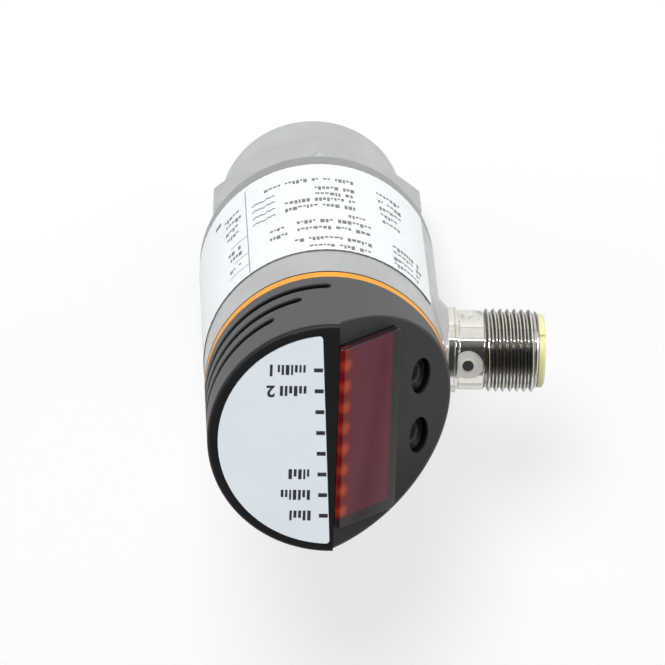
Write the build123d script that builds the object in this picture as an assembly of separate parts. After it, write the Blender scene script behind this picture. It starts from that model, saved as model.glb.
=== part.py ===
"""Electronic pressure sensor with a slanted display head and a round plug connector.

All sizes are in millimetres. The body axis is +Z, with the mouth of the process thread at the
origin and the display head on top. The plug connector points along -X, the scale plate is on
the +X half of the head, and the slanted display half faces -X and up.
"""

import os
from math import asin, cos, degrees, radians, sin, sqrt, tan

from build123d import *

# Whole body
body_diameter = 34.0
fit_play = 0.05
face_play = 0.1

# Process connection: round collar, hexagon, female thread and spigot
collar_inset = 1.5
collar_height = 13.0
collar_edge = 0.5
hexagon_inset = 2.0
hexagon_height = 9.3
hexagon_edge = 0.7
hexagon_edge_angle = 30.0
thread_bore_diameter = 13.3
thread_mouth_step = 0.45
thread_mouth_height = 0.4
thread_depth = 13.0
thread_drill_cone = 2.2
spigot_room = 3.0

# Measuring cell and what holds it
cup_wall = 3.9
cell_height = 6.0
cell_floor_thickness = 2.4
cell_play = 0.1
channel_diameter = 3.0
restrictor_diameter = 5.0
restrictor_length = 5.0
restrictor_hole = 0.8
cell_seal_inset = 2.5
cell_seal_section = 1.8
clamp_ring_width = 3.4
clamp_ring_height = 3.0
clamp_ring_shoulder = 0.7
clamp_notch_width = 2.0
clamp_notch_count = 4
cell_board_gap = 0.9
cell_board_thickness = 1.0
cell_chip_width = 3.6
cell_chip_height = 1.0
cell_chip_edge_gap = 1.2
cell_lead_diameter = 2.4

# Swivel between the connection and the housing
swivel_range = 345.0
swivel_seal_section = 1.6
swivel_seal_offset = 1.8
retaining_ring_width = 2.4
retaining_ring_height = 1.1
retaining_ring_depth = 1.1
retaining_ring_gap = 50.0
stop_pin_diameter = 1.2
stop_pin_length = 3.4
stop_groove_depth = 1.2
stop_groove_play = 0.1
stop_pin_angle = 90.0

# Housing sleeve, its label and the orange ring
sleeve_height = 42.2
sleeve_wall = 1.0
sleeve_flange = 3.8
sleeve_edge = 0.3
label_bottom_offset = 3.5
label_top_offset = 7.6
label_thickness = 0.12
label_span = 298.0
accent_ring_height = 2.0

# Connector on the side: distances along it are taken from the body axis
connector_below_ring = 12.1
boss_diameter = 17.8
boss_proud = 0.2
boss_length = 4.0
boss_shoulder = 1.3
boss_face_margin = 0.15
boss_seal_wall = 0.45
shell_collar_diameter = 12.1
shell_collar_length = 1.4
shell_neck_diameter = 11.2
shell_neck_length = 3.8
shell_thread_diameter = 11.8
shell_thread_length = 7.7
shell_stem_diameter = 11.0
shell_bore_diameter = 9.6
shell_spot_diameter = 4.3
shell_spot_depth = 0.3
shell_hole_diameter = 1.6
shell_hole_depth = 0.45
shell_hole_offset = 1.6
shell_side_count = 4
shell_lead_in = 0.5
connector_seal_section = 1.4
nut_across_flats = 15.0
nut_thickness = 2.0
carrier_wall = 0.55
carrier_lip_diameter = 10.4
carrier_lip_length = 0.9
carrier_cavity_depth = 7.6
carrier_notch_width = 1.2
carrier_notch_depth = 0.45
carrier_key_width = 1.1
carrier_key_height = 0.6
carrier_key_angle = -43.0
contact_diameter = 1.0
contact_circle = 5.0
contact_count = 4
contact_below_rim = 1.1
contact_tip = 0.3
connector_board_diameter = 12.0
connector_board_thickness = 1.2
connector_board_gap = 1.6

# Boards inside the housing
main_board_thickness = 1.6
main_board_slot_depth = 0.9
main_board_rise = 0.3
processor_size = 7.0
processor_height = 1.2
processor_from_right = 4.4
processor_from_top = 7.4
converter_size = 5.0
converter_height = 1.8
converter_from_left = 2.4
converter_from_bottom = 1.6
inductor_diameter = 5.0
inductor_height = 3.0
inductor_from_right = 7.4
inductor_from_bottom = 5.6
carrier_skirt_thickness = 1.1
carrier_clearance = 0.3
carrier_ring_width = 3.2
carrier_ring_height = 2.4
carrier_opening = 110.0
carrier_post_span = 24.0
carrier_slot_play = 0.1

# Display cap
cap_overhang = 0.1
cap_spigot_above_boss = 0.3
cap_spigot_wall = 1.8
cap_edge = 0.5
cap_roof = 2.0
cap_seal_section = 1.5
slant_angle = 42.5
slant_step = 0.6
slant_foot = 0.23
slant_wall = 2.0
slant_ridge = -0.6
groove_count = 3
groove_width = 1.6
groove_depth = 1.0
groove_first = 3.0
groove_pitch = 3.5
groove_first_reach = 87.0
groove_reach_step = 14.0

# Scale plate and display window
plate_margin = 1.45
plate_shift = 0.1
plate_edge_offset = 0.8
plate_turn = 3.3
plate_corner = 0.5
plate_thickness = 0.4
plate_proud = 0.1
pane_raise = 1.4
pane_sunk = 0.9
pane_button_gap = 3.9
pane_margin = 3.6
pane_play = 0.1
pane_side_seat = 1.5
pane_end_seat = 1.1
window_start = 1.9

# Display board, its parts and the buttons, measured in the slanted frame
board_depth = 5.6
board_thickness = 1.2
board_start = 0.8
board_past_buttons = 2.65
board_side_seat = 0.6
board_rim_gap = 0.3
rib_start = 3.0
rib_gap = 0.2
guide_width = 1.2
guide_gap = 0.1
guide_below_pane = 0.3
status_light_count = 8
status_light_height = 0.8
status_light_length = 1.6
module_below_pane = 0.4
module_digit_count = 4
module_digit_recess = 0.3
module_wall = 0.8
button_to_foot = 6.04
button_spacing = 9.0
button_shift = 0.3
button_hole_width = 3.7
button_hole_length = 5.4
button_clearance = 0.3
button_recess = 0.8
button_dish = 0.5
button_dish_inset = 0.45
button_flange = 0.4
button_flange_thickness = 0.8
button_travel = 0.5
switch_size = 4.0
switch_height = 1.4
switch_actuator = 1.8
switch_gap = 0.15
link_width = 6.0

# Heights and radii that follow from the sizes above
body_radius = body_diameter / 2
hexagon_flat_radius = body_radius - hexagon_inset
collar_radius = hexagon_flat_radius - collar_inset
sleeve_inner_radius = body_radius - sleeve_wall
spigot_radius = sleeve_inner_radius - spigot_room
hexagon_top = collar_height + hexagon_height
hexagon_corner = 2 * hexagon_flat_radius / sqrt(3)
sleeve_bottom = hexagon_top + face_play
sleeve_top = hexagon_top + sleeve_height
flange_top = sleeve_bottom + sleeve_flange
swivel_seal_middle = sleeve_bottom + swivel_seal_offset
label_bottom = hexagon_top + label_bottom_offset
label_top = sleeve_top - label_top_offset
connector_height = sleeve_top - connector_below_ring

slant = radians(slant_angle)
cap_bottom = sleeve_top + accent_ring_height
cap_radius = body_radius + cap_overhang
overall_height = cap_bottom + slant_foot + cap_radius * tan(slant) + slant_step
stem_hole_radius = shell_stem_diameter / 2 + fit_play
boss_inner_radius = stem_hole_radius + connector_seal_section + boss_seal_wall
boss_bevel = min((boss_diameter - shell_collar_diameter) / 2 - boss_face_margin, boss_length - boss_shoulder)
cap_spigot_radius = sleeve_inner_radius - face_play
cap_inner_radius = cap_spigot_radius - cap_spigot_wall
cap_spigot_bottom = connector_height + boss_inner_radius + cap_spigot_above_boss
cap_seal_middle = (cap_spigot_bottom + sleeve_top) / 2
cap_ceiling = overall_height - cap_roof

cell_floor = hexagon_top + cell_floor_thickness
cell_top = cell_floor + cell_height
clamp_top = cell_top + clamp_ring_height
cup_radius = spigot_radius - cup_wall
cell_radius = cup_radius - cell_play
cell_seal_radius = cell_radius - cell_seal_inset
clamp_radius = cup_radius + clamp_ring_shoulder
clamp_inner_radius = clamp_radius - clamp_ring_width
cell_board_radius = clamp_inner_radius - cell_board_gap
restrictor_bottom = thread_depth + thread_drill_cone
restrictor_top = restrictor_bottom + restrictor_length
cell_board_top = cell_top + cell_board_thickness
ring_bottom = flange_top + face_play
ring_top = ring_bottom + retaining_ring_height
stop_radius = (spigot_radius + hexagon_flat_radius) / 2

boss_reach = body_radius + boss_proud
boss_inner_face = boss_reach - boss_length
collar_reach = boss_reach + shell_collar_length
neck_reach = collar_reach + shell_neck_length
thread_reach = neck_reach + shell_thread_length
connector_reach = thread_reach + carrier_lip_length
nut_inner_face = boss_inner_face - nut_thickness
nut_corner = nut_across_flats / sqrt(3)
connector_board_reach = nut_inner_face - connector_board_gap
cavity_floor = connector_reach - carrier_cavity_depth
stem_end = nut_inner_face - nut_thickness / 4
boss_seal_middle = (boss_inner_face + boss_reach) / 2 - face_play
insert_radius = shell_bore_diameter / 2 - fit_play

carrier_outer = sleeve_inner_radius - carrier_clearance
carrier_ring_inner = carrier_outer - carrier_ring_width
carrier_ring_middle = (clamp_top + connector_height - nut_corner) / 2
main_board_left = connector_board_thickness - connector_board_reach
main_board_right = carrier_ring_inner + main_board_slot_depth
main_board_bottom = carrier_ring_middle
main_board_top = cap_spigot_bottom + main_board_rise

button_distance = cap_radius / cos(slant) - button_to_foot
plate_radius = cap_radius - plate_margin
pane_reach = button_distance - button_hole_width / 2 - pane_button_gap
pane_half_width = cap_radius - pane_margin
window_half_width = pane_half_width - pane_side_seat
window_end = pane_reach - pane_end_seat
module_end = window_end - rib_gap
module_half_width = window_half_width - rib_gap
status_light_pitch = (2 * module_half_width - status_light_length) / (status_light_count - 1)

# Frames: the connector's own axis, and the slanted display face with +X down the slope
connector_frame = Plane(origin=(0, 0, connector_height), x_dir=(0, 0, 1), z_dir=(-1, 0, 0))
slant_origin_height = overall_height - slant_step
slant_frame = Plane(
    origin=(0, 0, slant_origin_height),
    x_dir=(-cos(slant), 0, -sin(slant)),
    z_dir=(-sin(slant), 0, cos(slant)),
)
up = (Align.CENTER, Align.CENTER, Align.MIN)


def disc(radius, bottom, top):
    """A cylinder about Z between two heights."""
    return Pos(0, 0, bottom) * Cylinder(radius, top - bottom, align=up)


def tube(outer, inner, bottom, top):
    """A plain ring about Z between two heights."""
    return disc(outer, bottom, top) - disc(inner, bottom, top)


def block(x_range, y_range, z_range):
    """A box given by its lowest and highest value along each axis."""
    sizes = [high - low for low, high in (x_range, y_range, z_range)]
    centre = [(low + high) / 2 for low, high in (x_range, y_range, z_range)]
    return Pos(*centre) * Box(*sizes)


def turned(*outline):
    """A solid of revolution about Z from its half section of (radius, height) points."""
    section = make_face(Polyline(*[(radius, 0, height) for radius, height in outline], close=True))
    return revolve(section, Axis.Z)


def sector(inner, outer, bottom, top, middle, span):
    """Part of a plain ring, centred on one angle about Z."""
    corners = [(inner, 0, bottom), (outer, 0, bottom), (outer, 0, top), (inner, 0, top)]
    section = make_face(Polyline(*corners, close=True))
    return Rot(0, 0, middle - span / 2) * revolve(section, Axis.Z, span)


def profile_prism(points, half_width):
    """A prism across Y from an outline of (x, z) points."""
    section = make_face(Polyline(*[(x, 0, z) for x, z in points], close=True))
    return extrude(section, half_width, dir=(0, 1, 0), both=True)


def seal_ring(radius, section, height):
    """A square-section sealing ring about Z, by its middle radius and middle height."""
    half = section / 2
    return tube(radius + half, radius - half, height - half, height + half)


def slant_point(along, out):
    """The world (x, z) of a point down the slope and out of the slanted face."""
    x = -along * cos(slant) - out * sin(slant)
    z = slant_origin_height - along * sin(slant) + out * cos(slant)
    return x, z


def slant_height(x, out=0.0):
    """The height of the slanted face, or of a plane parallel to it, at a given x."""
    return slant_origin_height + x * tan(slant) + out / cos(slant)


def half_ellipse_axes(shrink):
    """Half sizes of the button's oval, drawn in from the hole in the cap."""
    return button_hole_width / 2 - shrink, button_hole_length / 2 - shrink


def oval(shrink, bottom, top):
    """An oval prism in the slanted frame, about the frame's own Z."""
    width, length = half_ellipse_axes(shrink)
    return Pos(0, 0, bottom) * extrude(Ellipse(width, length), top - bottom)


def make_process_connection():
    """One turned stainless piece: collar, hexagon, female thread bore, swivel spigot and cell cup."""
    seal_low, seal_high = seal_span(swivel_seal_middle, swivel_seal_section)
    seal_floor = spigot_radius - swivel_seal_section
    ring_floor = spigot_radius - retaining_ring_depth - fit_play
    channel = channel_diameter / 2
    bore = thread_bore_diameter / 2
    groove_inner = cell_seal_radius - cell_seal_section / 2 - face_play
    groove_outer = cell_seal_radius + cell_seal_section / 2 + face_play
    body = turned(
        (bore + thread_mouth_step, 0),
        (collar_radius - collar_edge, 0),
        (collar_radius, collar_edge),
        (collar_radius, hexagon_top),
        (spigot_radius, hexagon_top),
        (spigot_radius, seal_low),
        (seal_floor, seal_low),
        (seal_floor, seal_high),
        (spigot_radius, seal_high),
        (spigot_radius, ring_bottom),
        (ring_floor, ring_bottom),
        (ring_floor, ring_top + face_play),
        (spigot_radius, ring_top + face_play),
        (spigot_radius, clamp_top - collar_edge),
        (spigot_radius - collar_edge, clamp_top),
        (clamp_radius + fit_play, clamp_top),
        (clamp_radius + fit_play, cell_top),
        (cup_radius, cell_top),
        (cup_radius, cell_floor),
        (groove_outer, cell_floor),
        (groove_outer, cell_floor - cell_seal_section),
        (groove_inner, cell_floor - cell_seal_section),
        (groove_inner, cell_floor),
        (channel, cell_floor),
        (channel, restrictor_top),
        (restrictor_diameter / 2 + fit_play, restrictor_top),
        (restrictor_diameter / 2 + fit_play, restrictor_bottom),
        (bore, thread_depth),
        (bore, thread_mouth_height),
    )
    outline = RegularPolygon(hexagon_corner, 6, rotation=30)
    hexagon = Pos(0, 0, collar_height) * extrude(outline, hexagon_height)
    chamfer_start = hexagon_flat_radius + face_play
    rounding = turned(
        (0, collar_height),
        (chamfer_start, collar_height),
        (hexagon_corner, collar_height + hexagon_corner - chamfer_start),
        (hexagon_corner, hexagon_top - hexagon_edge * tan(radians(hexagon_edge_angle))),
        (hexagon_corner - hexagon_edge, hexagon_top),
        (0, hexagon_top),
    )
    hexagon = (hexagon & rounding) - disc(collar_radius - collar_edge, collar_height, hexagon_top)
    return body + hexagon - make_stop_groove()


def make_stop_groove():
    """The room in the hexagon's top face that the stop pin sweeps between its two ends."""
    half_pin = degrees(asin((stop_pin_diameter / 2 + stop_groove_play) / stop_radius))
    reach = stop_pin_diameter / 2 + stop_groove_play
    return sector(
        stop_radius - reach,
        stop_radius + reach,
        hexagon_top - stop_groove_depth,
        hexagon_top + face_play,
        stop_pin_angle,
        swivel_range + 2 * half_pin,
    )


def make_restrictor():
    """The small screw that damps pressure peaks, with its fine hole and driver slot."""
    screw = disc(restrictor_diameter / 2, restrictor_bottom, restrictor_top)
    screw -= disc(restrictor_hole / 2, restrictor_bottom, restrictor_top)
    half_slot = restrictor_hole / 2
    slot = block(
        (-restrictor_diameter, restrictor_diameter),
        (-half_slot, half_slot),
        (restrictor_bottom, restrictor_bottom + restrictor_hole),
    )
    return screw - slot


def make_clamp_ring():
    """The threaded ring that holds the cell down, with notches for a pin spanner."""
    ring = tube(clamp_radius, clamp_inner_radius, cell_top, clamp_top)
    half_notch = clamp_notch_width / 2
    for index in range(clamp_notch_count):
        along = (clamp_inner_radius - half_notch, clamp_radius + half_notch)
        notch = block(along, (-half_notch, half_notch), (cell_top + half_notch, clamp_top + half_notch))
        ring -= Rot(0, 0, index * 360 / clamp_notch_count) * notch
    return ring


def make_cell_board():
    """The round board on the cell's back, with its signal chip beside the lead's foot."""
    board = disc(cell_board_radius, cell_top, cell_board_top)
    chip = block(
        (cell_lead_diameter / 2 + face_play, cell_board_radius - cell_chip_edge_gap),
        (-cell_chip_width / 2, cell_chip_width / 2),
        (cell_board_top, cell_board_top + cell_chip_height),
    )
    return board + chip


def make_retaining_ring():
    """The open spring ring that keeps the housing on the spigot."""
    inner = spigot_radius - retaining_ring_depth
    span = 360 - retaining_ring_gap
    return sector(inner, inner + retaining_ring_width, ring_bottom, ring_top, 0, span)


def make_stop_pin():
    """The pin in the housing's floor that runs in the hexagon's groove."""
    angle = radians(stop_pin_angle)
    bottom = hexagon_top - stop_groove_depth + stop_groove_play
    place = Pos(stop_radius * cos(angle), stop_radius * sin(angle), 0)
    return place * disc(stop_pin_diameter / 2, bottom, bottom + stop_pin_length)


def seal_span(middle, section):
    """The two ends of the groove that a sealing ring lies in."""
    half = (section + face_play) / 2
    return middle - half, middle + half


def make_boss():
    """The rounded boss that carries the connector, along the connector's axis."""
    boss = disc(boss_diameter / 2, boss_inner_face, boss_reach)
    boss = chamfer(boss.edges().filter_by(GeomType.CIRCLE).sort_by(Axis.Z)[-1], boss_bevel)
    core = boss & disc(boss_inner_radius, boss_inner_face, boss_reach)
    outside = connector_frame * boss - disc((sleeve_inner_radius + body_radius) / 2, 0, overall_height)
    return outside + connector_frame * core


def make_sleeve():
    """The stainless sleeve with its floor, swivel bore, stop pin hole and connector boss."""
    bore = spigot_radius + fit_play
    sleeve = turned(
        (bore, sleeve_bottom),
        (body_radius - sleeve_edge, sleeve_bottom),
        (body_radius, sleeve_bottom + sleeve_edge),
        (body_radius, sleeve_top),
        (sleeve_inner_radius, sleeve_top),
        (sleeve_inner_radius, flange_top),
        (bore, flange_top),
    )
    sleeve += make_boss()
    sleeve -= connector_frame * disc(stem_hole_radius, 0, connector_reach)
    seal_low, seal_high = seal_span(boss_seal_middle, connector_seal_section)
    sleeve -= connector_frame * disc(stem_hole_radius + connector_seal_section, seal_low, seal_high)
    return sleeve - make_stop_pin()


def make_label():
    """The film label round the sleeve, open on the connector's side."""
    label = sector(body_radius, body_radius + label_thickness, label_bottom, label_top, 0, label_span)
    return label - connector_frame * disc(boss_diameter / 2 + face_play, 0, connector_reach)


def make_connector_shell():
    """The connector's metal shell: stem, collar, neck with four spot faces and holes, and thread."""
    stem = shell_stem_diameter / 2
    bore = shell_bore_diameter / 2
    neck = shell_neck_diameter / 2
    thread = shell_thread_diameter / 2
    shell = turned(
        (bore, stem_end),
        (stem, stem_end),
        (stem, boss_reach),
        (shell_collar_diameter / 2, boss_reach),
        (shell_collar_diameter / 2, collar_reach),
        (neck, collar_reach),
        (neck, neck_reach),
        (thread, neck_reach),
        (thread, thread_reach - shell_lead_in),
        (thread - shell_lead_in, thread_reach),
        (bore, thread_reach),
    )
    spot_floor = neck - shell_spot_depth
    place = Pos(spot_floor, 0, collar_reach + shell_hole_offset) * Rot(0, 90, 0)
    spot = place * Cylinder(shell_spot_diameter / 2, neck, align=up)
    spot &= disc(2 * neck, collar_reach, neck_reach)
    drill = place * Cylinder(shell_hole_diameter / 2, 2 * shell_hole_depth)
    for index in range(shell_side_count):
        shell -= Rot(0, 0, index * 360 / shell_side_count) * (spot + drill)
    return connector_frame * shell


def make_connector_nut():
    """The hexagon nut that pulls the shell's shoulder against the boss, inside the sleeve."""
    nut = Pos(0, 0, nut_inner_face) * extrude(RegularPolygon(nut_corner, 6), nut_thickness)
    return connector_frame * (nut - disc(stem_hole_radius, nut_inner_face, boss_inner_face))


def make_contact_carrier():
    """The moulded insert: rear body, socket cavity with its key, and the lip over the shell's end."""
    cavity = insert_radius - carrier_wall
    lip = carrier_lip_diameter / 2
    insert = disc(insert_radius, stem_end, thread_reach) + disc(lip, thread_reach, connector_reach)
    rim = insert.edges().filter_by(GeomType.CIRCLE).sort_by(Axis.Z)[-1]
    insert = chamfer(rim, carrier_lip_length / 3)
    insert -= disc(cavity, cavity_floor, connector_reach)
    half_key = carrier_key_width / 2
    key_start = cavity - carrier_key_height
    key = block((key_start, cavity + carrier_wall / 2), (-half_key, half_key), (cavity_floor, thread_reach))
    half_notch = carrier_notch_width / 2
    inward = (lip - carrier_notch_depth, lip)
    notch = block(inward, (-half_notch, half_notch), (thread_reach, connector_reach))
    insert = insert + Rot(0, 0, carrier_key_angle) * key - Rot(0, 0, carrier_key_angle) * notch
    return connector_frame * (insert - contact_holes())


def contact_places():
    """The turn about the connector's axis that carries each contact to its place."""
    first = carrier_key_angle + 180 / contact_count
    for index in range(contact_count):
        yield Rot(0, 0, first + index * 360 / contact_count) * Pos(contact_circle / 2, 0, 0)


def contact_holes():
    """The holes for the contacts through the insert's rear body."""
    hole = disc(contact_diameter / 2, stem_end, cavity_floor)
    return Compound([place * hole for place in contact_places()])


def make_contact_pins():
    """The four contacts, from the board behind the connector to just below the rim."""
    tip = connector_reach - contact_below_rim
    pin = disc(contact_diameter / 2, connector_board_reach, tip)
    end = pin.edges().filter_by(GeomType.CIRCLE).sort_by(Axis.Z)[-1]
    pin = chamfer(end, contact_tip)
    return connector_frame * Compound([place * pin for place in contact_places()])


def make_connector_board():
    """The small board that the contacts are soldered to."""
    bottom = connector_board_reach - connector_board_thickness
    return connector_frame * disc(connector_board_diameter / 2, bottom, connector_board_reach)


def make_main_board():
    """The upright board with its processor, converter and capacitor, in the carrier's slots."""
    half = main_board_thickness / 2
    board = block((main_board_left, main_board_right), (-half, half), (main_board_bottom, main_board_top))
    right = main_board_right - processor_from_right
    top = main_board_top - processor_from_top
    proud = (half, half + processor_height)
    processor = block((right - processor_size, right), proud, (top - processor_size, top))
    left = main_board_left + converter_from_left
    bottom = main_board_bottom + converter_from_bottom
    proud = (-half - converter_height, -half)
    converter = block((left, left + converter_size), proud, (bottom, bottom + converter_size))
    place = Pos(main_board_right - inductor_from_right, -half, main_board_bottom + inductor_from_bottom)
    inductor = place * Rot(90, 0, 0) * Cylinder(inductor_diameter / 2, inductor_height, align=up)
    return board + processor + converter + inductor


def make_board_carrier():
    """The moulded carrier: a skirt on the sleeve's floor, two slotted rings and two posts."""
    skirt_inner = carrier_outer - carrier_skirt_thickness
    lower_bottom = carrier_ring_middle - carrier_ring_height / 2
    lower_top = carrier_ring_middle + carrier_ring_height / 2
    upper_bottom = cap_spigot_bottom - carrier_ring_height
    carrier = tube(carrier_outer, skirt_inner, flange_top, lower_top)
    carrier += tube(carrier_outer, carrier_ring_inner, lower_bottom, lower_top)
    open_span = 360 - carrier_opening
    carrier += sector(carrier_ring_inner, carrier_outer, upper_bottom, cap_spigot_bottom, 0, open_span)
    for side in (90, -90):
        carrier += sector(skirt_inner, carrier_outer, lower_top, upper_bottom, side, carrier_post_span)
    half_slot = main_board_thickness / 2 + carrier_slot_play
    slot_end = main_board_right + carrier_slot_play
    slot_bottom = main_board_bottom - carrier_slot_play
    return carrier - block((0, slot_end), (-half_slot, half_slot), (slot_bottom, main_board_top))


def make_cell_lead():
    """The lead that joins the cell's board to the main board along the swivel axis."""
    return disc(cell_lead_diameter / 2, cell_board_top, main_board_bottom)


def slanted_half(lift):
    """Everything above the slanted face, lifted by a distance, on the connector's side of the ridge."""
    far = -body_diameter
    above = overall_height + body_diameter
    points = [
        (slant_ridge, slant_height(slant_ridge, lift)),
        (far, slant_height(far, lift)),
        (far, above),
        (slant_ridge, above),
    ]
    return profile_prism(points, body_diameter)


def make_cap_hollow():
    """The room inside the cap, under its roof and under the slanted wall."""
    inner_at = slant_origin_height - slant_wall / cos(slant)
    roof_start = (cap_ceiling - inner_at) / tan(slant)
    low = cap_spigot_bottom - 1
    far = -body_diameter
    foot = inner_at + far * tan(slant)
    below = [(far, low), (-far, low), (-far, cap_ceiling), (roof_start, cap_ceiling), (far, foot)]
    return disc(cap_inner_radius, low, cap_ceiling) & profile_prism(below, body_diameter)


def make_side_groove(index):
    """One of the grip grooves on the tall side, with rounded ends."""
    middle = cap_bottom + groove_first + index * groove_pitch
    reach = groove_first_reach - index * groove_reach_step
    inner = cap_radius - groove_depth
    outer = cap_radius + groove_depth
    groove = sector(inner, outer, middle - groove_width / 2, middle + groove_width / 2, 0, 2 * reach)
    for side in (reach, -reach):
        end = Rot(0, 0, side) * Pos(inner, 0, middle) * Rot(0, 90, 0)
        groove += end * Cylinder(groove_width / 2, outer - inner, align=up)
    return groove


def plate_outline(grow):
    """The half-round outline of the scale plate, grown by a clearance."""
    radius = plate_radius + grow
    edge = plate_edge_offset - grow
    round_part = Circle(radius) & Pos(edge + radius, 0) * Rectangle(2 * radius, 2 * radius)
    corners = round_part.vertices()
    return Pos(0, plate_shift) * Rot(0, 0, plate_turn) * fillet(corners, plate_corner)


def pane_outline(gap):
    """The window pane's section of (x, z) points: flush with the roof, then down the slope."""
    start = slant_ridge - gap
    crest = (overall_height - slant_height(0, pane_raise)) / tan(slant)
    return [
        (start, overall_height),
        (crest, overall_height),
        slant_point(pane_reach, pane_raise),
        slant_point(pane_reach, -pane_sunk),
        (start, slant_height(start, -pane_sunk)),
    ]


def make_pane_seat():
    """The shallow seat in the slanted wall that the pane is glued into."""
    end = pane_reach + pane_play
    points = [
        (slant_ridge, slant_height(slant_ridge, -pane_sunk)),
        (slant_ridge, overall_height + 1),
        slant_point(end, overall_height - slant_origin_height + 2 * pane_raise),
        slant_point(end, -pane_sunk),
    ]
    return profile_prism(points, pane_half_width + pane_play)


def button_places():
    """The two button centres in the slanted frame, with the name of each button."""
    for name, side in (("mode", 1), ("set", -1)):
        yield name, slant_frame * Pos(button_distance, side * button_spacing / 2 - button_shift, 0)


def make_cap():
    """The moulded cap: spigot, grip grooves, slanted face, window, button holes and board ribs."""
    seal_floor = cap_spigot_radius - cap_seal_section
    seal_low, seal_high = seal_span(cap_seal_middle, cap_seal_section)
    cap = turned(
        (0, cap_spigot_bottom),
        (cap_spigot_radius, cap_spigot_bottom),
        (cap_spigot_radius, seal_low),
        (seal_floor, seal_low),
        (seal_floor, seal_high),
        (cap_spigot_radius, seal_high),
        (cap_spigot_radius, cap_bottom),
        (cap_radius, cap_bottom),
        (cap_radius, overall_height),
        (0, overall_height),
    )
    cap = fillet(cap.edges().filter_by(GeomType.CIRCLE).sort_by(Axis.Z)[-1], cap_edge)
    cap -= slanted_half(0)
    cap -= make_cap_hollow()
    for index in range(groove_count):
        cap -= make_side_groove(index)
    rib_inner = window_half_width + rib_gap
    rib_end = window_end + rib_gap
    for side in (1, -1):
        across = sorted((side * rib_inner, side * cap_radius))
        rib = slant_frame * block((rib_start, rib_end), across, (-board_depth, -slant_wall / 2))
        cap += rib & disc((cap_inner_radius + cap_radius) / 2, cap_spigot_bottom, overall_height)
    cap -= make_pane_seat()
    across = (-window_half_width, window_half_width)
    cap -= slant_frame * block((window_start, window_end), across, (-board_depth, 0))
    for name, place in button_places():
        cap -= place * oval(0, -2 * slant_wall, slant_wall)
    sunk = plate_thickness - plate_proud
    recess = extrude(plate_outline(pane_play), plate_thickness)
    return cap - Pos(0, 0, overall_height - sunk) * recess


def make_plate():
    """The white scale plate in its shallow recess on the tall half."""
    bottom = overall_height - plate_thickness + plate_proud
    return Pos(0, 0, bottom) * extrude(plate_outline(0), plate_thickness)


def make_pane():
    """The dark window pane, standing proud of the slanted face."""
    return profile_prism(pane_outline(pane_play), pane_half_width)


def make_display_board():
    """The board behind the slanted face, trimmed to the round of the cap."""
    half = window_half_width + board_side_seat
    along = (board_start, button_distance + board_past_buttons)
    through = (-board_depth - board_thickness, -board_depth)
    slab = slant_frame * block(along, (-half, half), through)
    return slab & disc(cap_inner_radius - board_rim_gap, 0, overall_height)


def status_light_offsets():
    """How far each status light lies from the middle of the row, across the slope."""
    for index in range(status_light_count):
        yield (index - (status_light_count - 1) / 2) * status_light_pitch


def make_status_lights():
    """The row of small lamps on the display board, under the light guide."""
    start = window_start + guide_gap
    half = status_light_length / 2
    lights = []
    raised = (-board_depth, status_light_height - board_depth)
    for offset in status_light_offsets():
        lights.append(block((start, start + guide_width), (offset - half, offset + half), raised))
    return slant_frame * Compound(lights)


def make_light_guide():
    """The clear bar with one leg over each lamp, that brings their light up to the pane."""
    start = window_start + guide_gap
    along = (start, start + guide_width)
    top = -pane_sunk - guide_below_pane
    leg_bottom = status_light_height - board_depth
    bar_bottom = top - 2 * status_light_height
    guide = block(along, (-module_half_width, module_half_width), (bar_bottom, top))
    half = status_light_length / 2
    for offset in status_light_offsets():
        guide += block(along, (offset - half, offset + half), (leg_bottom, bar_bottom))
    return slant_frame * guide


def make_display_module():
    """The digit block of the display, with one shallow field for each digit."""
    start = window_start + 2 * guide_gap + guide_width
    top = -pane_sunk - module_below_pane
    module = block((start, module_end), (-module_half_width, module_half_width), (-board_depth, top))
    pitch = 2 * module_half_width / module_digit_count
    for index in range(module_digit_count):
        low = -module_half_width + index * pitch
        field = (low + module_wall / 2, low + pitch - module_wall / 2)
        inner = (start + module_wall, module_end - module_wall)
        module -= block(inner, field, (top - module_digit_recess, top))
    return slant_frame * module


def make_button(place):
    """A push button: oval plunger with a dished top and a flange under the wall."""
    top = -button_recess
    flange_upper = -slant_wall - fit_play
    flange_lower = flange_upper - button_flange_thickness
    button = oval(button_clearance, flange_lower, top)
    button += oval(-button_flange + button_clearance / 2, flange_lower, flange_upper)
    button -= oval(button_clearance + button_dish_inset, top - button_dish, top)
    return place * button


def make_switch(place):
    """The push switch under a button, reached at the end of the button's travel."""
    half = switch_size / 2
    flange_lower = -slant_wall - fit_play - button_flange_thickness
    tip = flange_lower - button_travel - switch_gap
    body = block((-half, half), (-half, half), (-board_depth, switch_height - board_depth))
    return place * (body + disc(switch_actuator / 2, switch_height - board_depth, tip))


def make_board_link():
    """The flat link between the main board's top edge and the display board."""
    half = link_width / 2
    underside = -board_depth - board_thickness
    points = [
        (-half, main_board_top),
        (half, main_board_top),
        (half, slant_height(half, underside)),
        (-half, slant_height(-half, underside)),
    ]
    return profile_prism(points, main_board_thickness / 2)


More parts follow.
